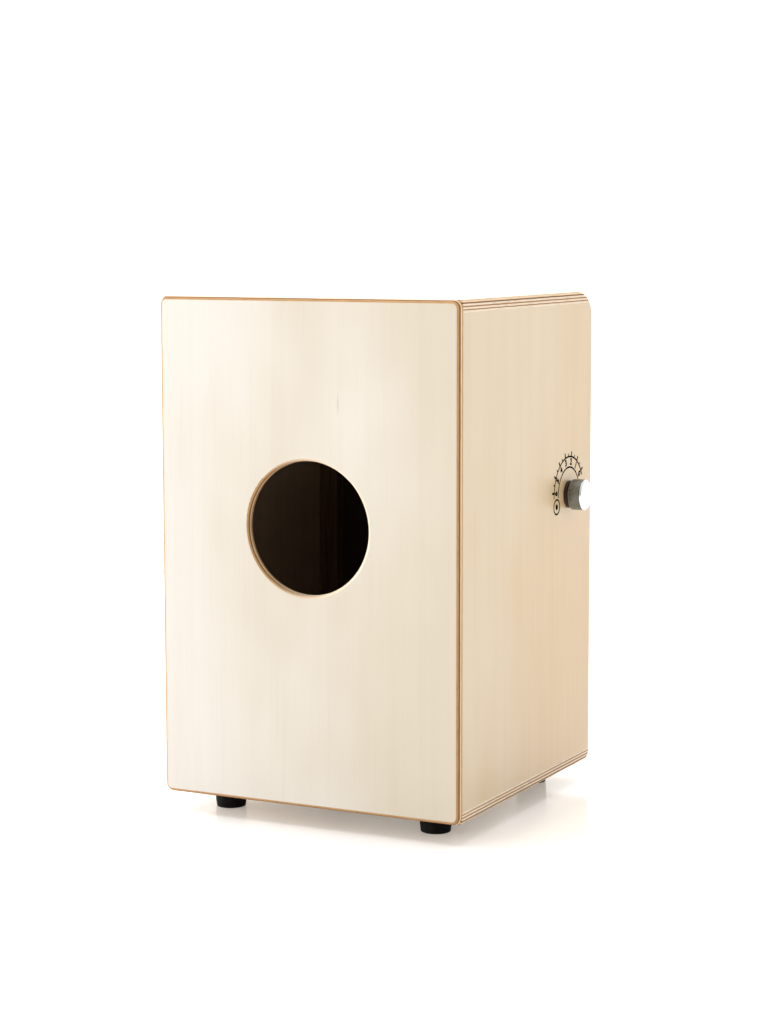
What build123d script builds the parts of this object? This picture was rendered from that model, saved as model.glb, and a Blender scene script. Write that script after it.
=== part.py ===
from build123d import *
import math
import os

# A cajon: a plywood box drum that the player sits on. The thin front panel (the tapa) is struck by
# hand, the rear panel has the sound hole, and a knob on the player's right turns a bar inside that
# brings two sets of snare wires up to the back of the tapa or swings them clear of it.
#
# Millimetres. The floor is Z = 0 under the feet, the front is -Y, the rear is +Y, the player's left
# is +X, and the origin is the middle of the four feet.

# ---- Driving dimensions -----------------------------------------------------------------------

WIDTH = 300.0                # across the tapa
DEPTH = 300.0                # tapa face to rear face
BODY_HEIGHT = 456.0          # wooden box without its feet
BOARD = 11.0                 # top, bottom and side boards, seven plies
REAR_THICKNESS = 6.5         # rear panel, five plies
TAPA_THICKNESS = 3.0         # striking panel, three plies

EDGE_ROUND = 3.5             # round-over on all long outer edges
REAR_CORNER_RADIUS = 7.5     # the rear panel's four corners, as seen from behind
REAR_EDGE_ROUND = 3.7        # round-over all round the rear panel's outer face
SEAT_CURVE_DEPTH = 32.0      # front top edge: how far back the seat starts to curve down
SEAT_CURVE_DROP = 23.0       # front top edge: how far down the curve ends
FRONT_BOTTOM_ROUND = 8.0

FOOT_RADIUS = 14.4
FOOT_TIP_RADIUS = 13.2
FOOT_HEIGHT = 19.0
FOOT_X = 106.0
FOOT_REAR_Y = 105.0
FOOT_FRONT_Y = -110.0
FOOT_CUP_RADIUS = 5.6        # screw recess in the foot's underside
FOOT_CUP_DEPTH = 12.0
FOOT_LIP = 1.0               # chamfer round the foot's tip
FOOT_SCREW_BITE = 9.0        # screw length in the bottom board
FOOT_WASHER_HEIGHT = 1.0

HOLE_RADIUS = 60.0
HOLE_RIM_ROUND = 3.0
HOLE_OFF_CENTRE = 1.5         # towards the knob's side, as measured in the photo
HOLE_BELOW_TOP = 203.5

RAIL_HEIGHT = 24.0           # front rails, above and below
RAIL_DEPTH = 14.0
BATTEN_WIDTH = 19.0          # upright front battens
TAPA_SCREWS_BELOW_TOP = 18.0 # upper row of screws, below the top board

AXIS_BELOW_TOP = 190.0       # snare axis
AXIS_BEHIND_FRONT = 57.0

KNOB_RADIUS = 14.6
KNOB_LENGTH = 13.7
KNOB_CHAMFER = 0.9
KNOB_BORE_DEPTH = 10.2
KNOB_GRUB_OFFSET = 5.5       # from the knob's inner end
KNOB_GRUB_LENGTH = 8.0
COLLAR_RADIUS = 13.0         # flange of the bushing
COLLAR_LENGTH = 3.0
COLLAR_EDGE_ROUND = 0.8
FELT_LENGTH = 1.0
FELT_RADIUS = 11.5
FELT_PLAY = 0.5
KNOB_GAP = 0.3

SHAFT_RADIUS = 4.0
SHAFT_END_X = 68.0
SHAFT_END_PLAY = 0.2         # between the shaft's end and the bottom of the knob's bore
SHAFT_CHAMFER = 0.6
RUNNING_CLEARANCE = 0.06
SEAT_CLEARANCE = 0.02
SLEEVE_RADIUS = 7.0
SLEEVE_INSIDE = 7.5          # thread length past the side panel's inner face
NUT_ACROSS_FLATS = 19.0
NUT_HEIGHT = 4.0
WASHER_RADIUS = 11.0
WASHER_HEIGHT = 1.0

BLOCK_LENGTH = 30.0          # bearing block, along the shaft
BLOCK_DEPTH = 40.0
BLOCK_HEIGHT = 34.0
BLOCK_POCKET_RADIUS = 13.0
BLOCK_POCKET_DEPTH = 9.0
BLOCK_SCREW_Y = 15.0
BLOCK_SCREW_Z = 12.0
BLOCK_EDGE_ROUND = 3.0

STOP_RADIUS = 14.0           # notched collar that limits the turn
STOP_LENGTH = 8.0
STOP_GAP = 0.4
STOP_NOTCH_RADIUS = 8.0
STOP_PIN_RADIUS = 2.0
STOP_PIN_ORBIT = 11.0
STOP_PIN_DIRECTION = 270.0   # degrees in the YZ plane, measured from +Y towards +Z
STOP_PIN_DEPTH = 9.0         # how far the pin sits in the block
STOP_PLAY = 0.3              # gap left at each end of the notch
TRAVEL_DEG = 35.0

ARM_X = 58.0
ARM_HUB_RADIUS = 9.0
ARM_HUB_LENGTH = 12.0
ARM_WEB = 4.0
ARM_FOOT_THICKNESS = 3.0
ARM_FOOT_WIDTH = 26.0
ARM_FOOT_MARGIN = 1.0        # the arm's foot is this much lower than the bar, above and below
ARM_FOOT_CORNER = 2.5
ARM_SCREW_OFFSET = 8.0

BAR_LENGTH = 144.0
BAR_DEPTH = 14.0
BAR_HEIGHT = 22.0
BAR_EDGE_ROUND = 1.5

STRAND_RADIUS = 0.8
STRAND_GAP = 0.4             # strands to the tapa with the snares on
STRAND_LENGTH = 122.0
STRAND_START = 3.0           # above the snare axis
STRANDS_PER_SET = 10
STRAND_PITCH = 4.2
SET_X = 36.0
PLATE_WIDTH = 52.0
PLATE_HEIGHT = 18.0
PLATE_THICKNESS = 1.0
PLATE_ABOVE_AXIS = 2.0
PLATE_SCREW_OFFSET = 23.0

# ---- Screws, by radius and length -------------------------------------------------------------

WOOD_SCREW = dict(head=3.0, shank=1.5)
LARGE_SCREW = dict(head=3.6, shank=1.9)
FOOT_SCREW = dict(head=3.9, shank=2.0)
ARM_SCREW = dict(head=2.4, shank=1.5)
PLATE_SCREW = dict(head=2.4, shank=1.2)
TAPA_SCREW_LENGTH = 15.0
BLOCK_SCREW_LENGTH = 38.0
ARM_SCREW_LENGTH = 13.0
PLATE_SCREW_LENGTH = 10.0
GRUB_RADIUS = 1.5
KNOB_GRUB_RADIUS = 2.0
GRUB_SUNK = 0.5              # how far a grub screw lies below the surface round it
SCREW_WAY_SPARE = 1.0        # room past a screw's point
SCREW_FIT = 0.05             # radial room round a screw in its hole
OVERCUT = 1.0                # how far a cutting shape runs past the face that it cuts

# ---- Derived places ---------------------------------------------------------------------------

HALF_W = WIDTH / 2
FRONT = -DEPTH / 2
REAR = DEPTH / 2
BOTTOM = FOOT_HEIGHT
TOP = FOOT_HEIGHT + BODY_HEIGHT
TAPA_BACK = FRONT + TAPA_THICKNESS
REAR_INNER = REAR - REAR_THICKNESS
INNER_X = HALF_W - BOARD
INNER_BOTTOM = BOTTOM + BOARD
INNER_TOP = TOP - BOARD
RAIL_BACK = TAPA_BACK + RAIL_DEPTH
BATTEN_X = INNER_X - BATTEN_WIDTH / 2
HOLE_Z = TOP - HOLE_BELOW_TOP
AXIS_Y = FRONT + AXIS_BEHIND_FRONT
AXIS_Z = TOP - AXIS_BELOW_TOP

KNOB_INNER_X = -HALF_W - COLLAR_LENGTH - FELT_LENGTH - KNOB_GAP
KNOB_FACE_X = KNOB_INNER_X - KNOB_LENGTH
BLOCK_END_X = -INNER_X + BLOCK_LENGTH
STOP_START_X = BLOCK_END_X + STOP_GAP
STRAND_Y = TAPA_BACK + STRAND_GAP + STRAND_RADIUS
PLATE_Y = STRAND_Y + STRAND_RADIUS
BAR_Y = PLATE_Y + PLATE_THICKNESS
BAR_BACK_Y = BAR_Y + BAR_DEPTH
ARM_FOOT_Y = BAR_BACK_Y + ARM_FOOT_THICKNESS


# ---- Shared shapes ----------------------------------------------------------------------------

def block(x, y, z):
    """A box from three (low, high) pairs."""
    size = [high - low for low, high in (x, y, z)]
    middle = [(high + low) / 2 for low, high in (x, y, z)]
    return Pos(*middle) * Box(*size)


def rod_x(x, y, z, radius):
    """A cylinder along X between the two ends in x."""
    start, end = x
    return Pos((start + end) / 2, y, z) * Rot(0, 90, 0) * Cylinder(radius, end - start)


def tube_x(x, y, z, outer, inner):
    return rod_x(x, y, z, outer) - rod_x(x, y, z, inner)


def aim(point, direction, shape):
    """Turn a shape built along +Z so that it points along direction from point."""
    return Plane(origin=point, z_dir=direction).location * shape


def screw_body(head, shank, length):
    """A countersunk screw's outline, from its flat head at Z = 0 to its point at Z = length."""
    head_depth = head - shank
    tip = 2.5 * shank
    with BuildPart() as body:
        with BuildSketch(Plane.XZ):
            with BuildLine():
                Polyline(
                    (0, 0),
                    (head, 0),
                    (shank, head_depth),
                    (shank, length - tip),
                    (0.2, length),
                    (0, length),
                    close=True,
                )
            make_face()
        revolve(axis=Axis.Z)
    return body.part


def wood_screw(head, shank, length):
    """A countersunk wood screw with a cross recess."""
    recess_depth = 0.45 * head
    slot = Pos(0, 0, recess_depth / 2) * Box(1.1 * head, 0.28 * head, recess_depth)
    return screw_body(head, shank, length) - slot - Rot(0, 0, 90) * slot


def screw_room(head, shank, length):
    """What a wood screw needs: its own outline with a little room all round."""
    room = screw_body(head + SCREW_FIT, shank + SCREW_FIT, length + SCREW_WAY_SPARE)
    return room + Pos(0, 0, -OVERCUT / 2) * Cylinder(head + SCREW_FIT, OVERCUT)


def screw_way(shank, length):
    """A straight hole from Z = 0 for a screw's shank, open a little at the start."""
    start = -OVERCUT
    end = length + SCREW_WAY_SPARE
    return Pos(0, 0, (start + end) / 2) * Cylinder(shank + SCREW_FIT, end - start)


def pan_screw(head, shank, length):
    """A pan-head wood screw: its head stands below Z = 0 and its shank runs up to Z = length."""
    head_height = 0.7 * head
    recess_depth = 0.4 * head
    top = Pos(0, 0, -head_height / 2) * Cylinder(head, head_height)
    top = fillet(top.edges().group_by(Axis.Z)[0], 0.3 * head)
    slot = Pos(0, 0, recess_depth / 2 - head_height) * Box(head, 0.26 * head, recess_depth)
    shaft = Pos(0, 0, length / 2) * Cylinder(shank, length)
    shaft = chamfer(shaft.edges().group_by(Axis.Z)[-1], 0.6 * shank)
    return top + shaft - slot - Rot(0, 0, 90) * slot


def grub_screw(radius, length):
    """A socket set screw from Z = 0 (the socket end) to Z = length."""
    body = Pos(0, 0, length / 2) * Cylinder(radius, length)
    body = chamfer(body.edges().group_by(Axis.Z)[-1], 0.25 * radius)
    socket = extrude(RegularPolygon(0.55 * radius, 6), amount=0.4 * length)
    return body - socket


def group(shapes):
    """Identical separate solids that share one node."""
    return Compound(children=list(shapes))


# ---- Wooden box -------------------------------------------------------------------------------

def outer_form():
    """The closed outer form of the box, rounded but for the rear, before it is cut into panels."""
    def stays(edge):
        """Edges of the rear face, and lines where a rounding already runs into a flat face."""
        middle = edge.center()
        along_x = abs(edge.tangent_at(0.5).X) > 0.99
        return middle.Y > REAR - 0.01 or (along_x and middle.Y < 0)

    with BuildPart() as form:
        with BuildSketch(Plane.YZ):
            with BuildLine():
                seat_end = FRONT + SEAT_CURVE_DEPTH
                curve_end = TOP - SEAT_CURVE_DROP
                corner = FRONT_BOTTOM_ROUND
                Line((REAR, BOTTOM), (REAR, TOP))
                Line((REAR, TOP), (seat_end, TOP))
                EllipticalCenterArc(
                    (seat_end, curve_end), SEAT_CURVE_DEPTH, SEAT_CURVE_DROP, 90, arc_size=90
                )
                Line((FRONT, curve_end), (FRONT, BOTTOM + corner))
                CenterArc((FRONT + corner, BOTTOM + corner), corner, 180, 90)
                Line((FRONT + corner, BOTTOM), (REAR, BOTTOM))
            make_face()
        extrude(amount=HALF_W, both=True)
        fillet(form.edges().filter_by(stays, reverse=True), EDGE_ROUND)
    return form.part


def tapa_screw_points():
    """Screw positions round the edge of the tapa, as (x, z)."""
    upper = INNER_TOP - TAPA_SCREWS_BELOW_TOP
    lower = INNER_BOTTOM + RAIL_HEIGHT / 2
    rows = [(BATTEN_X * step / 2, z) for z in (lower, upper) for step in range(-2, 3)]
    uprights = [
        (side * BATTEN_X, lower + (upper - lower) * step / 4)
        for side in (-1, 1)
        for step in (1, 2, 3)
    ]
    return rows + uprights


def at_tapa_screws(shape):
    return [aim((x, FRONT, z), (0, 1, 0), shape) for x, z in tapa_screw_points()]


def foot_points():
    return [(x, y) for x in (-FOOT_X, FOOT_X) for y in (FOOT_FRONT_Y, FOOT_REAR_Y)]


def at_block_screws(shape):
    offsets = [(y, z) for y in (-BLOCK_SCREW_Y, BLOCK_SCREW_Y) for z in (-BLOCK_SCREW_Z, BLOCK_SCREW_Z)]
    return [aim((BLOCK_END_X, AXIS_Y + y, AXIS_Z + z), (-1, 0, 0), shape) for y, z in offsets]


def box_panels():
    form = outer_form()
    across = (-HALF_W, HALF_W)
    inside = (-INNER_X, INNER_X)
    boards_y = (TAPA_BACK, REAR_INNER)
    rail_y = (TAPA_BACK, RAIL_BACK)
    tapa_room = at_tapa_screws(screw_room(**WOOD_SCREW, length=TAPA_SCREW_LENGTH))
    block_room = at_block_screws(screw_room(**LARGE_SCREW, length=BLOCK_SCREW_LENGTH))
    foot_way = screw_way(FOOT_SCREW["shank"], FOOT_SCREW_BITE)
    foot_room = [Pos(x, y, BOTTOM) * foot_way for x, y in foot_points()]
    bushing_x = (-HALF_W - OVERCUT, -INNER_X + OVERCUT)
    bushing_room = rod_x(bushing_x, AXIS_Y, AXIS_Z, SLEEVE_RADIUS + SCREW_FIT)

    side_right = form & block((-HALF_W, -INNER_X), boards_y, (INNER_BOTTOM, INNER_TOP))
    panels = {
        "top_panel": form & block(across, boards_y, (INNER_TOP, TOP)),
        "bottom_panel": (form & block(across, boards_y, (BOTTOM, INNER_BOTTOM))) - foot_room,
        "side_panel_left": form & block((INNER_X, HALF_W), boards_y, (INNER_BOTTOM, INNER_TOP)),
        "side_panel_right": side_right - bushing_room - block_room,
        "rear_panel": rear_panel(),
        "tapa": (form & block(across, (FRONT, TAPA_BACK), (BOTTOM, TOP))) - tapa_room,
    }
    rails = {
        "front_rail_top": block(inside, rail_y, (INNER_TOP - RAIL_HEIGHT, INNER_TOP)),
        "front_rail_bottom": block(inside, rail_y, (INNER_BOTTOM, INNER_BOTTOM + RAIL_HEIGHT)),
    }
    for name, low in (("front_batten_left", INNER_X - BATTEN_WIDTH), ("front_batten_right", -INNER_X)):
        upright = (INNER_BOTTOM + RAIL_HEIGHT, INNER_TOP - RAIL_HEIGHT)
        rails[name] = block((low, low + BATTEN_WIDTH), rail_y, upright)
    for name, rail in rails.items():
        panels[name] = (form & rail) - tapa_room
    return panels


def rear_panel():
    """The rear panel, with rounded corners, and rounded over round its face and the sound hole."""
    panel = block((-HALF_W, HALF_W), (REAR_INNER, REAR), (BOTTOM, TOP))
    panel = fillet(panel.edges().filter_by(Axis.Y), REAR_CORNER_RADIUS)
    panel = fillet(panel.faces().sort_by(Axis.Y)[-1].edges(), REAR_EDGE_ROUND)
    bore = Cylinder(HOLE_RADIUS, 4 * REAR_THICKNESS)
    hole = Pos(-HOLE_OFF_CENTRE, REAR, HOLE_Z) * Rot(90, 0, 0) * bore
    panel = panel - hole
    circles = panel.edges().filter_by(GeomType.CIRCLE)
    rim = [
        edge for edge in circles
        if abs(edge.radius - HOLE_RADIUS) < 0.01 and abs(edge.center().Y - REAR) < 0.01
    ]
    return fillet(rim, HOLE_RIM_ROUND)


# ---- Feet -------------------------------------------------------------------------------------

def foot():
    """A tapered rubber foot with a recess underneath for its washer and screw."""
    slope = (FOOT_RADIUS - FOOT_TIP_RADIUS) / FOOT_HEIGHT
    with BuildPart() as body:
        with BuildSketch(Plane.XZ):
            with BuildLine():
                Polyline(
                    (0, FOOT_HEIGHT),
                    (FOOT_RADIUS, FOOT_HEIGHT),
                    (FOOT_TIP_RADIUS + slope * FOOT_LIP, FOOT_LIP),
                    (FOOT_TIP_RADIUS - FOOT_LIP, 0),
                    (0, 0),
                    close=True,
                )
            make_face()
        revolve(axis=Axis.Z)
    cup = Pos(0, 0, FOOT_CUP_DEPTH / 2) * Cylinder(FOOT_CUP_RADIUS, FOOT_CUP_DEPTH)
    return body.part - cup - screw_way(FOOT_SCREW["shank"], FOOT_HEIGHT)


def feet():
    names = {
        (-FOOT_X, FOOT_FRONT_Y): "foot_front_right",
        (-FOOT_X, FOOT_REAR_Y): "foot_rear_right",
        (FOOT_X, FOOT_FRONT_Y): "foot_front_left",
        (FOOT_X, FOOT_REAR_Y): "foot_rear_left",
    }
    nodes = {names[point]: Pos(*point, 0) * foot() for point in foot_points()}
    under_washer = FOOT_CUP_DEPTH - FOOT_WASHER_HEIGHT
    washer = Cylinder(FOOT_CUP_RADIUS - 0.2, FOOT_WASHER_HEIGHT)
    washer -= Cylinder(FOOT_SCREW["shank"] + SCREW_FIT, 2 * FOOT_WASHER_HEIGHT)
    washer = Pos(0, 0, under_washer + FOOT_WASHER_HEIGHT / 2) * washer
    screw_length = BOTTOM + FOOT_SCREW_BITE - under_washer
    screw = Pos(0, 0, under_washer) * pan_screw(**FOOT_SCREW, length=screw_length)
    nodes["foot_washers"] = group(Pos(*point, 0) * washer for point in foot_points())
    nodes["foot_screws"] = group(Pos(*point, 0) * screw for point in foot_points())
    return nodes


# ---- Snare adjuster: what stays fixed in the box ----------------------------------------------

def knob_bearing():
    """Flanged bushing through the side panel, its nut, and the block that steadies the shaft."""
    collar_x = -HALF_W - COLLAR_LENGTH
    bore = SHAFT_RADIUS + RUNNING_CLEARANCE
    sleeve_end = -INNER_X + SLEEVE_INSIDE

    flange = rod_x((collar_x, -HALF_W), AXIS_Y, AXIS_Z, COLLAR_RADIUS)
    flange = fillet(flange.edges().group_by(Axis.X)[0], COLLAR_EDGE_ROUND)
    sleeve = rod_x((-HALF_W, sleeve_end), AXIS_Y, AXIS_Z, SLEEVE_RADIUS)
    bore_x = (collar_x - OVERCUT, sleeve_end + OVERCUT)
    bushing = flange + sleeve - rod_x(bore_x, AXIS_Y, AXIS_Z, bore)

    washer_x = (-INNER_X, -INNER_X + WASHER_HEIGHT)
    washer = tube_x(washer_x, AXIS_Y, AXIS_Z, WASHER_RADIUS, SLEEVE_RADIUS + SCREW_FIT)

    hexagon = RegularPolygon(NUT_ACROSS_FLATS / 2, 6, major_radius=False)
    nut = aim((washer_x[1], AXIS_Y, AXIS_Z), (1, 0, 0), extrude(hexagon, amount=NUT_HEIGHT))
    nut_x = (washer_x[1] - OVERCUT, washer_x[1] + NUT_HEIGHT + OVERCUT)
    nut -= rod_x(nut_x, AXIS_Y, AXIS_Z, SLEEVE_RADIUS + SCREW_FIT)

    felt_x = (collar_x - FELT_LENGTH, collar_x)
    felt = tube_x(felt_x, AXIS_Y, AXIS_Z, FELT_RADIUS, SHAFT_RADIUS + FELT_PLAY)

    body = block(
        (-INNER_X, BLOCK_END_X),
        (AXIS_Y - BLOCK_DEPTH / 2, AXIS_Y + BLOCK_DEPTH / 2),
        (AXIS_Z - BLOCK_HEIGHT / 2, AXIS_Z + BLOCK_HEIGHT / 2),
    )
    body = fillet(body.edges().filter_by(Axis.X), BLOCK_EDGE_ROUND)
    pocket_x = (-INNER_X - OVERCUT, -INNER_X + BLOCK_POCKET_DEPTH)
    body -= rod_x(pocket_x, AXIS_Y, AXIS_Z, BLOCK_POCKET_RADIUS)
    body -= rod_x((-INNER_X, BLOCK_END_X + OVERCUT), AXIS_Y, AXIS_Z, bore)
    body -= at_block_screws(screw_room(**LARGE_SCREW, length=BLOCK_SCREW_LENGTH))

    angle = math.radians(STOP_PIN_DIRECTION)
    pin_y = AXIS_Y + STOP_PIN_ORBIT * math.cos(angle)
    pin_z = AXIS_Z + STOP_PIN_ORBIT * math.sin(angle)
    pin_x = (BLOCK_END_X - STOP_PIN_DEPTH, STOP_START_X + STOP_LENGTH)
    pin_way_x = (pin_x[0], BLOCK_END_X + OVERCUT)
    body -= rod_x(pin_way_x, pin_y, pin_z, STOP_PIN_RADIUS + SEAT_CLEARANCE)

    block_screw = wood_screw(**LARGE_SCREW, length=BLOCK_SCREW_LENGTH)
    return {
        "knob_bushing": bushing,
        "bushing_washer": washer,
        "bushing_nut": nut,
        "knob_felt_washer": felt,
        "bearing_block": body,
        "bearing_block_screws": group(at_block_screws(block_screw)),
        "stop_pin": rod_x(pin_x, pin_y, pin_z, STOP_PIN_RADIUS),
    }


# ---- Snare adjuster: what turns with the knob --------------------------------------------------

def knob_and_shaft():
    shaft_start = KNOB_INNER_X - KNOB_BORE_DEPTH + SHAFT_END_PLAY
    shaft = rod_x((shaft_start, SHAFT_END_X), AXIS_Y, AXIS_Z, SHAFT_RADIUS)
    shaft = chamfer(shaft.edges().filter_by(GeomType.CIRCLE), SHAFT_CHAMFER)

    knob = rod_x((KNOB_FACE_X, KNOB_INNER_X), AXIS_Y, AXIS_Z, KNOB_RADIUS)
    knob = chamfer(knob.edges().filter_by(GeomType.CIRCLE), KNOB_CHAMFER)
    bore_x = (KNOB_INNER_X - KNOB_BORE_DEPTH, KNOB_INNER_X + OVERCUT)
    knob -= rod_x(bore_x, AXIS_Y, AXIS_Z, SHAFT_RADIUS + SEAT_CLEARANCE)

    grub_x = KNOB_INNER_X - KNOB_GRUB_OFFSET
    grub_foot = AXIS_Z - SHAFT_RADIUS - KNOB_GRUB_LENGTH
    grub_way = Cylinder(KNOB_GRUB_RADIUS + SEAT_CLEARANCE, KNOB_RADIUS)
    knob -= Pos(grub_x, AXIS_Y, AXIS_Z - SHAFT_RADIUS / 2 - KNOB_RADIUS / 2) * grub_way
    grub = Pos(grub_x, AXIS_Y, grub_foot) * grub_screw(KNOB_GRUB_RADIUS, KNOB_GRUB_LENGTH)
    return {"snare_knob": knob, "knob_grub_screw": grub, "snare_shaft": shaft}


def stop_collar():
    """Notched collar: the stop pin stands in the notch, so the notch's two ends limit the turn."""
    x = (STOP_START_X, STOP_START_X + STOP_LENGTH)
    collar = tube_x(x, AXIS_Y, AXIS_Z, STOP_RADIUS, SHAFT_RADIUS + SEAT_CLEARANCE)
    margin = math.degrees(math.asin((STOP_PIN_RADIUS + STOP_PLAY) / STOP_PIN_ORBIT))
    start = math.radians(STOP_PIN_DIRECTION - margin)
    end = math.radians(STOP_PIN_DIRECTION + TRAVEL_DEG + margin)
    middle = (start + end) / 2

    def on_circle(radius, angle):
        return radius * math.cos(angle), radius * math.sin(angle)

    reach = STOP_RADIUS + OVERCUT
    with BuildSketch(Plane.YZ) as notch:
        with BuildLine():
            inner = [on_circle(STOP_NOTCH_RADIUS, angle) for angle in (start, middle, end)]
            outer = [on_circle(reach, angle) for angle in (start, middle, end)]
            ThreePointArc(*inner)
            ThreePointArc(*outer)
            Line(inner[0], outer[0])
            Line(inner[2], outer[2])
        make_face()
    notch_length = STOP_LENGTH + 2 * OVERCUT
    collar -= Pos(x[0] - OVERCUT, AXIS_Y, AXIS_Z) * extrude(notch.sketch, amount=notch_length)

    grub_x = (x[0] + x[1]) / 2
    grub_length = STOP_RADIUS - SHAFT_RADIUS - GRUB_SUNK
    grub_top = AXIS_Z + SHAFT_RADIUS + grub_length
    way = Cylinder(GRUB_RADIUS + SEAT_CLEARANCE, STOP_RADIUS)
    collar -= Pos(grub_x, AXIS_Y, AXIS_Z + SHAFT_RADIUS / 2 + STOP_RADIUS / 2) * way
    grub = aim((grub_x, AXIS_Y, grub_top), (0, 0, -1), grub_screw(GRUB_RADIUS, grub_length))
    return {"stop_collar": collar, "stop_collar_grub_screw": grub}


def at_arm_screws(shape):
    points = [side * ARM_X + step * ARM_SCREW_OFFSET for side in (-1, 1) for step in (-1, 1)]
    return [aim((x, ARM_FOOT_Y, AXIS_Z + BAR_HEIGHT / 2), (0, -1, 0), shape) for x in points]


def snare_arm(x):
    """Cast arm from the shaft to the bar: a hub, a web and a foot that is screwed to the bar."""
    foot_z = (AXIS_Z + ARM_FOOT_MARGIN, AXIS_Z + BAR_HEIGHT - ARM_FOOT_MARGIN)
    foot_x = (x - ARM_FOOT_WIDTH / 2, x + ARM_FOOT_WIDTH / 2)
    foot_plate = block(foot_x, (BAR_BACK_Y, ARM_FOOT_Y), foot_z)
    foot_plate = fillet(foot_plate.edges().filter_by(Axis.Y), ARM_FOOT_CORNER)
    web_start = ARM_FOOT_Y - ARM_FOOT_THICKNESS / 2
    web_end = AXIS_Y - SHAFT_RADIUS
    web_half = 0.8 * ARM_HUB_RADIUS
    with BuildSketch(Plane.YZ) as outline:
        with BuildLine():
            Polyline(
                (web_start, foot_z[0] + ARM_FOOT_MARGIN),
                (web_start, foot_z[1] - ARM_FOOT_MARGIN),
                (web_end, AXIS_Z + web_half),
                (web_end, AXIS_Z - web_half),
                close=True,
            )
        make_face()
    web = Pos(x - ARM_WEB / 2, 0, 0) * extrude(outline.sketch, amount=ARM_WEB)
    hub_x = (x - ARM_HUB_LENGTH / 2, x + ARM_HUB_LENGTH / 2)
    arm = foot_plate + web + rod_x(hub_x, AXIS_Y, AXIS_Z, ARM_HUB_RADIUS)
    bore_x = (hub_x[0] - OVERCUT, hub_x[1] + OVERCUT)
    arm -= rod_x(bore_x, AXIS_Y, AXIS_Z, SHAFT_RADIUS + SEAT_CLEARANCE)
    grub_way = Cylinder(GRUB_RADIUS + SEAT_CLEARANCE, ARM_HUB_RADIUS)
    arm -= Pos(x, AXIS_Y, AXIS_Z + SHAFT_RADIUS / 2 + ARM_HUB_RADIUS / 2) * grub_way
    return arm - at_arm_screws(screw_way(ARM_SCREW["shank"], ARM_SCREW_LENGTH))


def at_plate_screws(shape):
    points = [side * SET_X + step * PLATE_SCREW_OFFSET for side in (-1, 1) for step in (-1, 1)]
    return [aim((x, PLATE_Y, AXIS_Z + BAR_HEIGHT / 2), (0, 1, 0), shape) for x in points]


def snare_bar_parts():
    """The beech bar, its two arms, and the two strainer plates with their steel strands."""
    plate_ways = at_plate_screws(screw_room(**PLATE_SCREW, length=PLATE_SCREW_LENGTH))
    arm_ways = at_arm_screws(screw_way(ARM_SCREW["shank"], ARM_SCREW_LENGTH))
    half = BAR_LENGTH / 2
    bar = block((-half, half), (BAR_Y, BAR_BACK_Y), (AXIS_Z, AXIS_Z + BAR_HEIGHT))
    bar = fillet(bar.edges().filter_by(Axis.X), BAR_EDGE_ROUND)
    bar = bar - arm_ways - plate_ways

    arm_screw = pan_screw(**ARM_SCREW, length=ARM_SCREW_LENGTH)
    plate_screw = wood_screw(**PLATE_SCREW, length=PLATE_SCREW_LENGTH)
    nodes = {
        "snare_bar": bar,
        "snare_arm_left": snare_arm(ARM_X),
        "snare_arm_right": snare_arm(-ARM_X),
        "arm_screws": group(at_arm_screws(arm_screw)),
        "strainer_screws": group(at_plate_screws(plate_screw)),
    }
    grub_length = ARM_HUB_RADIUS - SHAFT_RADIUS - GRUB_SUNK
    arm_grub = grub_screw(GRUB_RADIUS, grub_length)
    grub_top = AXIS_Z + SHAFT_RADIUS + grub_length
    nodes["arm_grub_screws"] = group(
        aim((x, AXIS_Y, grub_top), (0, 0, -1), arm_grub) for x in (-ARM_X, ARM_X)
    )

    plate_z = (AXIS_Z + PLATE_ABOVE_AXIS, AXIS_Z + PLATE_ABOVE_AXIS + PLATE_HEIGHT)
    strand_z = AXIS_Z + STRAND_START + STRAND_LENGTH / 2
    for name, middle in (("left", SET_X), ("right", -SET_X)):
        plate_x = (middle - PLATE_WIDTH / 2, middle + PLATE_WIDTH / 2)
        plate = block(plate_x, (PLATE_Y, BAR_Y), plate_z)
        nodes[f"strainer_plate_{name}"] = plate - plate_ways
        first = middle - (STRANDS_PER_SET - 1) / 2 * STRAND_PITCH
        strand = Cylinder(STRAND_RADIUS, STRAND_LENGTH)
        nodes[f"snare_wires_{name}"] = group(
            Pos(first + step * STRAND_PITCH, STRAND_Y, strand_z) * strand
            for step in range(STRANDS_PER_SET)
        )
    return nodes


# ---- Write one file per node ------------------------------------------------------------------

def main():
    nodes = box_panels()
    tapa_screw = wood_screw(**WOOD_SCREW, length=TAPA_SCREW_LENGTH)
    nodes["tapa_screws"] = group(at_tapa_screws(tapa_screw))
    nodes.update(feet())
    nodes.update(knob_bearing())
    nodes.update(knob_and_shaft())
    nodes.update(stop_collar())
    nodes.update(snare_bar_parts())

    os.makedirs("parts", exist_ok=True)
    for name, shape in nodes.items():
        export_step(shape, f"parts/{name}.step")


main()
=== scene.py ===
import math

import bpy
import numpy as np
from mathutils import Matrix, Vector


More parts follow.
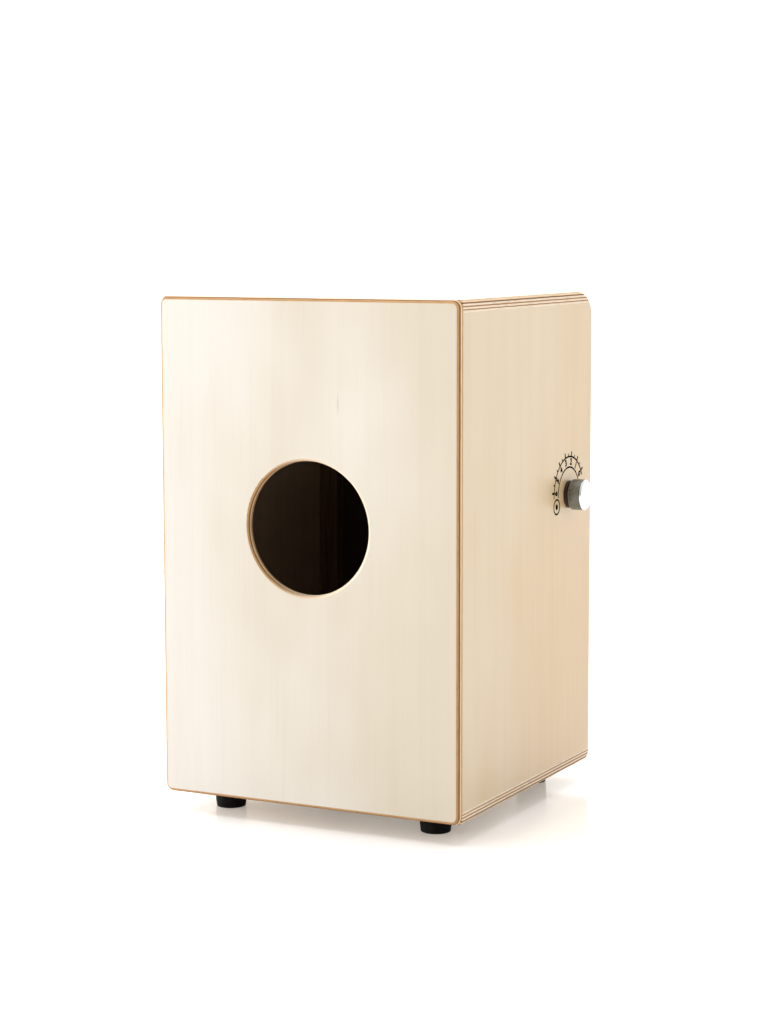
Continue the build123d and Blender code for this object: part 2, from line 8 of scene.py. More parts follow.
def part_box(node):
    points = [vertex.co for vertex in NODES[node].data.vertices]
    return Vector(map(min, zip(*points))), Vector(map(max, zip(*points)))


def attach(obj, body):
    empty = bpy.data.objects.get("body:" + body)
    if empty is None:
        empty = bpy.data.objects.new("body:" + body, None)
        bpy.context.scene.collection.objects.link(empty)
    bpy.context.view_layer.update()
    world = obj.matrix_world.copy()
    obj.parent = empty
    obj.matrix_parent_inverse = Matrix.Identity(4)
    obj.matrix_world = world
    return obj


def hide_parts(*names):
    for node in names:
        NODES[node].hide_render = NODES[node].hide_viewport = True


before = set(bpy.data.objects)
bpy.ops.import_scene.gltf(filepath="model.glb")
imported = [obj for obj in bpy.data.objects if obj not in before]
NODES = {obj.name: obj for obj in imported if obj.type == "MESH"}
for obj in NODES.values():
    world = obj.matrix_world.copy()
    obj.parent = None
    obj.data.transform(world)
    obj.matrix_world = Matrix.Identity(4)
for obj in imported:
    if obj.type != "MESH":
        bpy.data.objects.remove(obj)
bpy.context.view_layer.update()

# The looks of a cajon, round its CAD model. Metres; the rear with the sound hole faces +Y, the
# striking panel (tapa) -Y, and the snare knob is on -X.

MM = 0.001
X, Y, Z = 0, 1, 2
UNITS = (Vector((1, 0, 0)), Vector((0, 1, 0)), Vector((0, 0, 1)))

RIGHT_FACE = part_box("side_panel_right")[0].x
LEFT_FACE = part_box("side_panel_left")[1].x
TOP_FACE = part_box("top_panel")[1].z
BOTTOM_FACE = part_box("bottom_panel")[0].z
REAR_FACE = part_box("rear_panel")[1].y
TAPA_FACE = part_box("tapa")[0].y
KNOB_LOW, KNOB_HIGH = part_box("snare_knob")
KNOB_CENTRE = (KNOB_LOW + KNOB_HIGH) / 2
BOX_CENTRE = (0, 0, (TOP_FACE + BOTTOM_FACE) / 2)
HOLE_CENTRE = (-0.0015, REAR_FACE, 0.2715)


def srgb(code):
    """Linear colour, with alpha, of a hexadecimal sRGB code."""
    parts = [int(code[at:at + 2], 16) / 255 for at in (0, 2, 4)]
    linear = [c / 12.92 if c <= 0.04045 else ((c + 0.055) / 1.055) ** 2.4 for c in parts]
    return (*linear, 1.0)


def dimmed(colour, factors):
    """A colour with each of its parts multiplied by a factor."""
    return (*(part * factor for part, factor in zip(colour, factors)), 1)


def scales(axis, along, across):
    """Scales of a pattern along one axis and across it, per metre."""
    return [along if one == axis else across for one in range(3)]


def heading(azimuth, elevation):
    """The direction of a compass bearing in degrees: azimuth 0 is -Y, 90 is +X."""
    a, e = math.radians(azimuth), math.radians(elevation)
    return Vector((math.sin(a) * math.cos(e), -math.cos(a) * math.cos(e), math.sin(e)))


# ---- Shader nodes -----------------------------------------------------------------------------

class Nodes:
    """Short calls that add nodes to a tree. A value is a number, a colour or a socket."""

    def __init__(self, tree, output):
        self.tree = tree
        self.tree.nodes.clear()
        self.output = self.tree.nodes.new("ShaderNode" + output)

    def put(self, socket, value):
        if isinstance(value, bpy.types.NodeSocket):
            self.tree.links.new(value, socket)
        else:
            socket.default_value = value

    def node(self, kind, inputs, **settings):
        made = self.tree.nodes.new("ShaderNode" + kind)
        for name, value in settings.items():
            setattr(made, name, value)
        for key, value in inputs.items():
            self.put(made.inputs[key], value)
        return made

    def math(self, operation, a, b=0.0):
        return self.node("Math", {0: a, 1: b}, operation=operation).outputs[0]

    def dot(self, a, b):
        made = self.node("VectorMath", {0: a, 1: b}, operation="DOT_PRODUCT")
        return made.outputs["Value"]

    def between(self, value, low, high, to_low=0.0, to_high=1.0):
        """Value taken from low..high to to_low..to_high, with soft ends and no overshoot."""
        inputs = {"Value": value, "From Min": low, "From Max": high}
        inputs.update({"To Min": to_low, "To Max": to_high})
        return self.node("MapRange", inputs, interpolation_type="SMOOTHSTEP").outputs[0]


class Shader(Nodes):
    """A material, with calls for its patterns and colours."""

    def __init__(self, name):
        self.material = bpy.data.materials.new(name)
        self.material.use_nodes = True
        super().__init__(self.material.node_tree, "OutputMaterial")

    def place(self):
        """Where a point is in the frame, in metres."""
        return self.node("TexCoord", {}).outputs["Object"]

    def away(self, place, point):
        """The vector to a place from a fixed point."""
        return self.node("VectorMath", {0: place, 1: point}, operation="SUBTRACT").outputs[0]

    def axes(self, vector):
        return self.node("SeparateXYZ", {0: vector}).outputs

    def stretched(self, vector, scale, offset=(0, 0, 0)):
        moved = self.node("Mapping", {"Vector": vector, "Scale": scale, "Location": offset})
        return moved.outputs[0]

    def noise(self, vector, scale=1.0, detail=3.0, roughness=0.5, distortion=0.0):
        inputs = {"Vector": vector, "Scale": scale, "Detail": detail}
        inputs.update({"Roughness": roughness, "Distortion": distortion})
        return self.node("TexNoise", inputs).outputs["Fac"]

    def cells(self, vector):
        """Distance to the nearest of scattered points, and a random number for each point."""
        made = self.node("TexVoronoi", {"Vector": vector, "Scale": 1.0})
        number = self.node("SeparateColor", {0: made.outputs["Color"]}).outputs[0]
        return made.outputs["Distance"], number

    def mix(self, share, a, b, blend="MIX"):
        made = self.node("Mix", {0: share, 6: a, 7: b}, data_type="RGBA", blend_type=blend)
        return made.outputs[2]

    def stain(self, base, pattern, low, high, most, colour, blend="MIX"):
        """A base colour with up to a share of another, as a pattern goes from low to high."""
        return self.mix(self.between(pattern, low, high, 0, most), base, colour, blend)

    def ramp(self, share, stops):
        made = self.node("ValToRGB", {0: share})
        elements = made.color_ramp.elements
        while len(elements) < len(stops):
            elements.new(0.5)
        for element, (at, colour) in zip(elements, stops):
            element.position = at
            element.color = colour
        return made.outputs[0]

    def bump(self, height, distance, strength):
        inputs = {"Height": height, "Distance": distance, "Strength": strength}
        return self.node("Bump", inputs).outputs[0]

    def surface(self, inputs):
        made = self.node("BsdfPrincipled", inputs)
        self.put(self.output.inputs["Surface"], made.outputs[0])
        return self.material


# ---- Wood -------------------------------------------------------------------------------------

PLY_LIGHT = srgb("F7DCB4")
PLY_PALE = srgb("FDEDD2")
PLY_TAN = srgb("C59863")
PLY_BROWN = srgb("A8703A")
PLY_DARK = srgb("865022")
# The colour of the painted light on the sound hole's rim.
PLY_PAINTED_LIT = srgb("FBEBD2")

# A board's thickness in millimetres, and the depth below its outer face at which each ply's
# colour starts.
REAR_BOARD = (6.5, [(0.09, PLY_TAN), (1.1, PLY_DARK), (2.25, PLY_LIGHT), (4.3, PLY_TAN)])
THICK_BOARD = (11.0, [
    (0.15, PLY_TAN), (0.75, PLY_LIGHT), (2.2, PLY_DARK), (3.4, PLY_PALE), (5.15, PLY_BROWN),
    (6.3, PLY_PALE), (8.0, PLY_BROWN), (9.0, PLY_PALE),
])
TAPA_BOARD = (3.0, [(0.15, PLY_TAN), (0.5, PLY_LIGHT), (1.1, PLY_BROWN), (2.0, PLY_LIGHT)])

# In millimetres: how far plies waver, how deep below either face they start to and do so in full,
# how softly each ply and the outer veneer end, and how far from the inner face its veneer starts
# and is complete.
PLY_WAVER = 0.55
WAVER_START, WAVER_FULL = 0.15, 0.9
PLY_BLUR, CUT_BLUR = 0.12, 0.05
INNER_START, INNER_FULL = 0.10, 0.03

# Scales of the patterns per metre, along an axis and across it, or the same every way.
CLOUD_SCALES = (4.2, 8)
FIGURE_SCALES = (1.6, 46)
STREAK_SCALES = (7, 420)
FLECK_SCALES = (8, 70)
FIBRE_SCALES = (1400, 90)
PORE_SCALE = 1500
WAVER_SCALE = 34
GROWTH_SCALES = (2.5, 60)
PLANED_SCALES = (18, 1100)

FLECK_SHARE = 0.42
GROWTH_RINGS = 42.0
VENEER_RELIEF = 0.00006
PLANED_RELIEF = 0.0001
LACQUER, BARE_LACQUER = 1.0, 0.1
LACQUER_ROUGHNESS = 0.27
BARE_ROUGHNESS = 0.75
PLANED_ROUGHNESS = 0.62

# The light and the warm tint of each outer veneer. The rear's tints are paler and more neutral than
# the sides' as a painted glare of the lacquer, and the top's are paler still as painted light from
# above.
REAR_VENEER_PAINTED_GLARE = (srgb("E6DFD4"), srgb("D6C9B3"))
SIDE_VENEER = (srgb("E1CBA6"), srgb("DCB985"))
TOP_VENEER_PAINTED_LIT = (srgb("EFE4D0"), srgb("ECDDC0"))
# Inner veneers are darkened a little as painted shade inside the box, and the tapa's back is far
# darker as painted shade.
INSIDE_WITH_PAINTED_SHADE = srgb("C4AC92")
TAPA_BACK_PAINTED_SHADE = srgb("48331F")
INNER_STREAK = srgb("2A1A0E")
STREAK = srgb("B98D5E")
FLECK = srgb("8C6238")

# Painted light: round the sound hole the plies are paler towards -X, where the rim faces the lights
# at +X. Given are how far this reaches from the hole's middle and how softly it ends, and where
# along X the painted light starts to go, has gone, and how strong it is.
RIM_REACH, RIM_SOFT = 0.0665, 0.002
LIT_RIM_FULL, LIT_RIM_NONE, LIT_RIM_SHARE = -0.035, 0.045, 0.8


def veneer_colour(shader, place, grain, veneer, seed, painted_falloff):
    """Sliced birch: clouds of two close tints, faint long grain, and a few short dark flecks.

    The last argument is the direction in which the tint goes from light to warm, and how fast over
    a metre: painted light, the face paler where it is lit more and warmer where it is lit less."""
    light, warm = veneer
    spread = shader.stretched(place, scales(grain, *CLOUD_SCALES), (seed, 0, seed))
    clouds = shader.noise(spread, detail=2, roughness=0.55)
    # Painted light: the tint drifts from light to warm along the last argument, as the light across
    # the face falls off.
    clouds = shader.math("ADD", clouds, shader.dot(shader.away(place, BOX_CENTRE), painted_falloff))
    tint = shader.mix(shader.between(clouds, 0.16, 0.84), light, warm)

    spread = shader.stretched(place, scales(grain, *FIGURE_SCALES), (0, seed, 0))
    figure = shader.noise(spread, detail=3, roughness=0.55, distortion=0.6)
    tint = shader.stain(tint, figure, 0.40, 0.62, 0.05, warm, "MULTIPLY")

    spread = shader.stretched(place, scales(grain, *STREAK_SCALES))
    streaks = shader.noise(spread, detail=4, roughness=0.6)
    tint = shader.stain(tint, streaks, 0.50, 0.72, 0.045, STREAK)

    spread = shader.stretched(place, scales(grain, *FLECK_SCALES), (seed, seed, 0))
    distance, number = shader.cells(spread)
    spot = shader.between(distance, 0.035, 0.10, 1, 0)
    rare = shader.between(number, 0.80, 0.86)
    flecks = shader.math("MULTIPLY", spot, rare)
    tint = shader.mix(shader.math("MULTIPLY", flecks, FLECK_SHARE), tint, FLECK)
    return tint, streaks, flecks


def wavering_depth(shader, place, stack, face, inward, thickness):
    """Millimetres below a board's outer face, uneven between its veneers as cut plies are."""
    offset = shader.math("SUBTRACT", shader.axes(place)[stack], face)
    depth = shader.math("MULTIPLY", offset, inward / MM)
    below = shader.between(depth, WAVER_START, WAVER_FULL)
    above = shader.between(depth, thickness - WAVER_FULL, thickness - WAVER_START, 1, 0)
    waver = shader.math("SUBTRACT", shader.noise(place, WAVER_SCALE, detail=2), 0.5)
    waver = shader.math("MULTIPLY", waver, below)
    waver = shader.math("MULTIPLY", waver, above)
    return shader.math("ADD", depth, shader.math("MULTIPLY", waver, PLY_WAVER))


def ply_colours(shader, place, stack, depth, board):
    """The colour of a cut edge at a depth, with fibres and pores."""
    thickness, plies = board
    stops = [(0.0, plies[0][1])]
    for (_, previous), (start, colour) in zip(plies, plies[1:]):
        stops.append(((start - PLY_BLUR) / thickness, previous))
        stops.append(((start + PLY_BLUR) / thickness, colour))
    colour = shader.ramp(shader.math("DIVIDE", depth, thickness), stops)
    spread = shader.stretched(place, scales(stack, *FIBRE_SCALES))
    fibres = shader.noise(spread, detail=4, roughness=0.65)
    colour = shader.stain(colour, fibres, 0.42, 0.70, 0.28, PLY_DARK)
    pores = shader.noise(place, PORE_SCALE, detail=2, roughness=0.6)
    return shader.stain(colour, pores, 0.56, 0.70, 0.22, PLY_DARK)


def sanded_rim(shader, place, colour):
    """The plies round the sound hole, with painted light that makes them paler towards -X."""
    away = shader.away(place, HOLE_CENTRE)
    distance = shader.node("VectorMath", {0: away}, operation="LENGTH").outputs["Value"]
    near = shader.between(distance, RIM_REACH, RIM_REACH + RIM_SOFT, 1, 0)
    lit_side = shader.between(shader.axes(away)[X], LIT_RIM_FULL, LIT_RIM_NONE, LIT_RIM_SHARE, 0)
    return shader.mix(shader.math("MULTIPLY", near, lit_side), colour, PLY_PAINTED_LIT)


def plywood(name, stack, face, inward, board, grain, veneer, seed, inner=INSIDE_WITH_PAINTED_SHADE,
            painted_falloff=(0, 0, 0), holed=False):
    """A board whose plies show wherever its surface runs below the outer veneer.

    stack is the axis across the board, face where its outer face is on that axis, inward +1 or
    -1, and grain the axis of the outer veneer's grain."""
    thickness, plies = board
    shader = Shader(name)
    place = shader.place()
    depth = wavering_depth(shader, place, stack, face, inward, thickness)
    veneer_look, streaks, flecks = veneer_colour(shader, place, grain, veneer, seed, painted_falloff)
    ply_look = ply_colours(shader, place, stack, depth, board)
    # Painted light on the sound hole's rim, paler towards -X.
    if holed:
        ply_look = sanded_rim(shader, place, ply_look)

    veneer_end = plies[0][0]
    cut = shader.between(depth, veneer_end - CUT_BLUR, veneer_end + CUT_BLUR)
    colour = shader.mix(cut, veneer_look, ply_look)
    inner_veneer = shader.stain(inner, streaks, 0.35, 0.7, 0.08, INNER_STREAK)
    inside = shader.between(depth, thickness - INNER_START, thickness - INNER_FULL)
    rough = shader.between(streaks, 0.3, 0.8, 0.40, 0.52)
    bare_rough = shader.math("MULTIPLY", cut, BARE_ROUGHNESS)
    height = shader.math("SUBTRACT", streaks, flecks)
    return shader.surface({
        "Base Color": shader.mix(inside, colour, inner_veneer),
        "Roughness": shader.math("MAXIMUM", rough, bare_rough),
        "Coat Weight": shader.between(cut, 0, 1, LACQUER, BARE_LACQUER),
        "Coat Roughness": LACQUER_ROUGHNESS,
        "Normal": shader.bump(height, VENEER_RELIEF, 0.6),
    })


def planed_wood(name, grain, light, dark):
    """Solid wood, with growth rings that run along the piece."""
    shader = Shader(name)
    place = shader.place()
    spread = shader.stretched(place, scales(grain, *GROWTH_SCALES))
    bent = shader.noise(spread, detail=2, roughness=0.5, distortion=0.8)
    rings = shader.math("SINE", shader.math("MULTIPLY", bent, GROWTH_RINGS))
    spread = shader.stretched(place, scales(grain, *PLANED_SCALES))
    fibres = shader.noise(spread, detail=4, roughness=0.6)
    colour = shader.stain(light, rings, -0.6, 1.0, 0.65, dark)
    return shader.surface({
        "Base Color": shader.stain(colour, fibres, 0.45, 0.75, 0.4, dark),
        "Roughness": PLANED_ROUGHNESS,
        "Normal": shader.bump(fibres, PLANED_RELIEF, 0.6),
    })


# ---- Metal, nylon, rubber, felt and ink -------------------------------------------------------

TARNISH = (0.8, 0.78, 0.75)
CAST_SHADE = (0.7, 0.7, 0.7)
SCRATCH_SCALES = (260, 260)
LATHE_SCALES = (2600, 30)
SMUDGE_SCALE = 90
SMUDGE_ROUGHNESS = 0.06
SCRATCH_RELIEF = 0.00002


def metal(name, colour, smooth, rough, turned_about=None):
    """Metal with fine scratches, which run round the axis where it is turned.

    smooth and rough are its least and most roughness, before smudges."""
    shader = Shader(name)
    place = shader.place()
    spacing = scales(X, *SCRATCH_SCALES)
    if turned_about is not None:
        spacing = scales(turned_about, *LATHE_SCALES)
    scratches = shader.noise(shader.stretched(place, spacing), detail=4, roughness=0.6)
    smudges = shader.noise(place, SMUDGE_SCALE, detail=3, roughness=0.5)
    scratched = shader.between(scratches, 0.3, 0.7, smooth, rough)
    smudged = shader.between(smudges, 0.45, 0.75, 0, SMUDGE_ROUGHNESS)
    return shader.surface({
        "Base Color": shader.stain(colour, smudges, 0.4, 0.8, 0.25, dimmed(colour, TARNISH)),
        "Metallic": 1.0,
        "Roughness": shader.math("ADD", scratched, smudged),
        "Normal": shader.bump(scratches, SCRATCH_RELIEF, 0.5),
    })


def cast_metal(name, colour):
    """Metal with the grainy skin of a casting."""
    shader = Shader(name)
    place = shader.place()
    grains = shader.noise(place, 1300, detail=4, roughness=0.6)
    patches = shader.noise(place, 120, detail=3, roughness=0.5)
    return shader.surface({
        "Base Color": shader.stain(colour, patches, 0.35, 0.7, 0.6, dimmed(colour, CAST_SHADE)),
        "Metallic": 1.0,
        "Roughness": shader.between(grains, 0.3, 0.7, 0.42, 0.6),
        "Normal": shader.bump(grains, 0.00012, 0.8),
    })


def rubber():
    shader = Shader("foot_rubber")
    place = shader.place()
    grain = shader.noise(place, 1700, detail=3, roughness=0.6)
    dust = shader.noise(place, 60, detail=4, roughness=0.6)
    return shader.surface({
        "Base Color": shader.stain(srgb("121211"), dust, 0.5, 0.8, 0.5, srgb("242220")),
        "Roughness": shader.between(grain, 0.3, 0.7, 0.62, 0.8),
        "Specular IOR Level": 0.14,
        "Normal": shader.bump(grain, 0.0001, 0.5),
    })


def nylon():
    shader = Shader("black_nylon")
    spread = shader.stretched(shader.place(), scales(X, 2400, 40))
    lines = shader.noise(spread, detail=3, roughness=0.5)
    return shader.surface({
        "Base Color": shader.stain(srgb("2A1C10"), lines, 0.4, 0.7, 1, srgb("3D2A1A")),
        "Roughness": shader.between(lines, 0.3, 0.7, 0.36, 0.5),
        "Specular IOR Level": 0.3,
        "Normal": shader.bump(lines, 0.00003, 0.4),
    })


def felt():
    shader = Shader("felt")
    place = shader.place()
    fuzz = shader.noise(place, 2600, detail=5, roughness=0.7)
    clumps = shader.noise(place, 420, detail=3, roughness=0.6)
    colour = shader.stain(srgb("1C1410"), clumps, 0.35, 0.7, 1, srgb("34281F"))
    return shader.surface({
        "Base Color": shader.stain(colour, fuzz, 0.5, 0.75, 0.5, srgb("4A3B30")),
        "Roughness": 0.95,
        "Sheen Weight": 0.3,
        "Sheen Roughness": 0.5,
        "Specular IOR Level": 0.1,
        "Normal": shader.bump(fuzz, 0.0003, 0.9),
    })


def ink():
    shader = Shader("printed_ink")
    wear = shader.noise(shader.place(), 2200, detail=3, roughness=0.6)
    return shader.surface({
        "Base Color": shader.stain(srgb("15100C"), wear, 0.60, 0.78, 0.5, srgb("5B4330")),
        "Roughness": 0.7,
        "Specular IOR Level": 0.0,
    })


# ---- Materials for the CAD nodes --------------------------------------------------------------

def plywood_materials():
    return {
        # Painted light on the rear: paler towards +X and the bottom, warmer towards -X and the top.
        "rear_panel": plywood(
            "rear_plywood", Y, REAR_FACE, -1, REAR_BOARD, Z, REAR_VENEER_PAINTED_GLARE, 3.1,
            painted_falloff=(-2.4, 0, 0.35), holed=True),
        # Painted shade on the right side: warmer and darker towards the front and the bottom.
        "side_panel_right": plywood(
            "right_plywood", X, RIGHT_FACE, 1, THICK_BOARD, Z, SIDE_VENEER, 7.7,
            painted_falloff=(0, -2.0, -0.5)),
        "side_panel_left": plywood(
            "left_plywood", X, LEFT_FACE, -1, THICK_BOARD, Z, SIDE_VENEER, 12.3),
        "top_panel": plywood(
            "top_plywood", Z, TOP_FACE, -1, THICK_BOARD, X, TOP_VENEER_PAINTED_LIT, 5.2),
        "bottom_panel": plywood(
            "bottom_plywood", Z, BOTTOM_FACE, 1, THICK_BOARD, X, SIDE_VENEER, 9.4),
        "tapa": plywood(
            "tapa_plywood", Y, TAPA_FACE, 1, TAPA_BOARD, Z, SIDE_VENEER, 1.6,
            inner=TAPA_BACK_PAINTED_SHADE),
    }


def give(node, material):
    """Puts one material on a CAD node."""
    if not NODES[node].material_slots:
        NODES[node].data.materials.append(material)
    for slot in NODES[node].material_slots:
        slot.material = material


def dress_cad_nodes():
    for node, material in plywood_materials().items():
        give(node, material)
    # The pine rails and battens inside the box are far darker than pine, as painted shade inside
    # the box.
    pine_pale_painted_shade, pine_rings_painted_shade = srgb("7F6144"), srgb("573C25")
    for node, grain in (("front_rail_top", X), ("front_rail_bottom", X),
                        ("front_batten_left", Z), ("front_batten_right", Z)):
        give(node, planed_wood(node + "_wood", grain, pine_pale_painted_shade, pine_rings_painted_shade))
    beech_light, beech_dark = srgb("CDA276"), srgb("A87848")
    give("bearing_block", planed_wood("block_beech", X, beech_light, beech_dark))
    give("snare_bar", planed_wood("bar_beech", X, beech_light, beech_dark))
    zinc = metal("zinc", (0.62, 0.62, 0.60, 1), 0.28, 0.42)
    black = metal("black_oxide", (0.035, 0.035, 0.037, 1), 0.35, 0.5)
    bright = metal("bright_steel", (0.66, 0.66, 0.66, 1), 0.18, 0.32, turned_about=X)
    brass = metal("brass_sheet", (0.76, 0.56, 0.25, 1), 0.25, 0.4)
    castings = cast_metal("cast_aluminium", (0.66, 0.66, 0.67, 1))
    for material, nodes in (
        (zinc, ("foot_washers", "foot_screws", "bushing_washer", "bushing_nut", "stop_pin",
                "stop_collar", "arm_screws", "strainer_screws", "bearing_block_screws")),
        (black, ("tapa_screws", "knob_grub_screw", "stop_collar_grub_screw", "arm_grub_screws")),
        (bright, ("snare_shaft",)),
        (brass, ("strainer_plate_left", "strainer_plate_right")),
        (castings, ("snare_arm_left", "snare_arm_right")),
        (nylon(), ("knob_bushing",)),
    ):
        for node in nodes:
            give(node, material)


# ---- Meshes -----------------------------------------------------------------------------------

ARC_STEPS = 5


def add_piece(name, vertices, faces, materials, body, replaced=(), sharp=30.0):
    """A smooth-shaded piece on a body. Edges over the sharp angle, in degrees, stay crisp."""
    mesh = bpy.data.meshes.new(name)
    mesh.from_pydata([tuple(v) for v in vertices], [], faces)
    mesh.validate()
    mesh.update()
    for polygon in mesh.polygons:
        polygon.use_smooth = True
    mesh.set_sharp_from_angle(angle=math.radians(sharp))
    for material in materials:
        mesh.materials.append(material)
    piece = bpy.data.objects.new(name, mesh)
    bpy.context.scene.collection.objects.link(piece)
    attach(piece, body)
    if replaced:
        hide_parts(*replaced)
    return piece


def rounded(corners):
    """A profile from (along, radius, round) corners, each rounded by an arc of that radius."""
    points = []
    count = len(corners)
    for index, (x, r, arc) in enumerate(corners):
        here = Vector((x, r))
        if arc <= 0:
            points.append(here)
            continue
        before = Vector(corners[index - 1][:2]) - here
        after = Vector(corners[(index + 1) % count][:2]) - here
        half = before.angle(after) / 2
        reach = arc / math.tan(half)
        inwards = (before.normalized() + after.normalized()).normalized()
        middle = here + inwards * arc / math.sin(half)
        start = here + before.normalized() * reach - middle
        end = here + after.normalized() * reach - middle
        for step in range(ARC_STEPS + 1):
            mixed = start.lerp(end, step / ARC_STEPS)
            points.append(middle + mixed.normalized() * arc)
    return points


def turned(profile, centre, axis, segments):
    """Vertices and faces of a closed profile of (along, radius) points turned about an axis."""
    along = UNITS[axis]
    first = UNITS[(axis + 1) % 3]
    second = along.cross(first)
    vertices = []
    for segment in range(segments):
        angle = 2 * math.pi * segment / segments
        out = first * math.cos(angle) + second * math.sin(angle)
        vertices += [centre + along * x + out * r for x, r in profile]
    count = len(profile)
    faces = []
    for segment in range(segments):
        here, there = segment * count, ((segment + 1) % segments) * count
        for point in range(count):
            following = (point + 1) % count
            faces.append((here + point, here + following, there + following, there + point))
    return vertices, faces


# ---- Knob -------------------------------------------------------------------------------------

KNOB_BORE = 4.02 * MM
KNOB_BORE_END = 3.5 * MM
KNOB_DIMPLE = 0.4 * MM
KNOB_EDGE = 0.9 * MM
KNOB_BEVEL = 1.7 * MM
KNOB_SEGMENTS = 128
GROOVE_DEPTH = 0.5 * MM


def make_knob():
    """Turned knob: a polished bevel and dished face outside, a groove, and a satin barrel."""
    radius = (KNOB_HIGH.z - KNOB_LOW.z) / 2
    length = KNOB_HIGH.x - KNOB_LOW.x
    outer, inner = -length / 2, length / 2
    corners = [
        (outer, KNOB_DIMPLE, 0),
        (outer + 0.35 * MM, radius - 4.2 * MM, 1.5 * MM),
        (outer, radius - 3.2 * MM, 0.6 * MM),
        (outer, radius - 1.5 * MM, 0.35 * MM),
        (outer + 1.6 * MM, radius, 0.3 * MM),
        (outer + 1.9 * MM, radius - GROOVE_DEPTH, 0),
        (outer + 2.4 * MM, radius - GROOVE_DEPTH, 0),
        (outer + 2.5 * MM, radius, 0.1 * MM),
        (inner - KNOB_EDGE, radius, 0.3 * MM),
        (inner, radius - KNOB_EDGE, 0.2 * MM),
        (inner, KNOB_BORE, 0),
        (outer + KNOB_BORE_END, KNOB_BORE, 0),
        (outer + KNOB_BORE_END, KNOB_DIMPLE, 0),
    ]
    vertices, faces = turned(rounded(corners), KNOB_CENTRE, X, KNOB_SEGMENTS)
    satin = metal("knob_satin", (0.255, 0.28, 0.29, 1), 0.20, 0.32, turned_about=X)
    polished = metal("knob_polished", (0.93, 0.93, 0.93, 1), 0.05, 0.10, turned_about=X)
    piece = add_piece("knob", vertices, faces, [satin, polished], "snare",
                      ("snare_knob",))
    bevel_end = KNOB_CENTRE.x + outer + KNOB_BEVEL
    edge_start = KNOB_CENTRE.x + inner - KNOB_EDGE
    for polygon in piece.data.polygons:
        if polygon.center.x < bevel_end or polygon.center.x > edge_start:
            polygon.material_index = 1


# ---- Feet -------------------------------------------------------------------------------------

FOOT_TOP_RADIUS = 14.6 * MM
FOOT_TIP_RADIUS = 13.5 * MM
FOOT_CUP_RADIUS = 5.6 * MM
FOOT_CUP_TOP = 12.0 * MM
FOOT_SCREW_RADIUS = 2.1 * MM
FOOT_SEGMENTS = 72


def make_feet():
    """Rubber feet that swell towards a thin lip at the top, with a cup for the screw's head."""
    rubber_look = rubber()
    for side in ("front_left", "front_right", "rear_left", "rear_right"):
        node = "foot_" + side
        low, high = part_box(node)
        centre = (low + high) / 2
        height = high.z - low.z
        corners = [
            (0.0, 6.0 * MM, 0.5 * MM),
            (0.0, FOOT_TIP_RADIUS - 0.1 * MM, 0.8 * MM),
            (7.0 * MM, FOOT_TOP_RADIUS - 0.3 * MM, 3.0 * MM),
            (height - 1.6 * MM, FOOT_TOP_RADIUS - 0.15 * MM, 0),
            (height - 1.2 * MM, FOOT_TOP_RADIUS, 0.2 * MM),
            (height, FOOT_TOP_RADIUS, 0.4 * MM),
            (height, FOOT_SCREW_RADIUS, 0),
            (FOOT_CUP_TOP, FOOT_SCREW_RADIUS, 0),
            (FOOT_CUP_TOP, FOOT_CUP_RADIUS, 0.4 * MM),
            (2.0 * MM, FOOT_CUP_RADIUS, 0),
        ]
        middle = Vector((centre.x, centre.y, 0))
        vertices, faces = turned(rounded(corners), middle, Z, FOOT_SEGMENTS)
        add_piece("rubber_" + node, vertices, faces, [rubber_look], "box", (node,))


# ---- Felt washer ------------------------------------------------------------------------------

FELT_BORE = 4.6 * MM
FELT_ROUND = 0.3 * MM
FELT_RIPPLE = 0.08 * MM
RIPPLE_RATES = (17.3, 5.1)
FELT_SEGMENTS = 96


def make_felt():
    """Felt washer between the knob and the panel, with a slightly uneven outer edge."""
    low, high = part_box("knob_felt_washer")
    centre = (low + high) / 2
    half, outer = (high.x - low.x) / 2, (high.z - low.z) / 2
    corners = [
        (-half, FELT_BORE, 0),
        (-half, outer, FELT_ROUND),
        (half, outer, FELT_ROUND),
        (half, FELT_BORE, 0),
    ]
    vertices, faces = turned(rounded(corners), centre, X, FELT_SEGMENTS)
    first, second = RIPPLE_RATES
    for index, vertex in enumerate(vertices):
        out = Vector((0, vertex.y - centre.y, vertex.z - centre.z))
        if out.length > 0.8 * outer:
            ripple = math.sin(first * index) * math.cos(second * index)
            vertices[index] = vertex + out.normalized() * ripple * FELT_RIPPLE
    add_piece("felt_washer", vertices, faces, [felt()], "box", ("knob_felt_washer",), 60)


# ---- Snare strands ----------------------------------------------------------------------------

STRANDS = 10
STRAND_WIRE = 0.2 * MM
STRAND_PITCH = 1.15 * MM
STEPS_PER_TURN, WIRE_SIDES = 9, 5


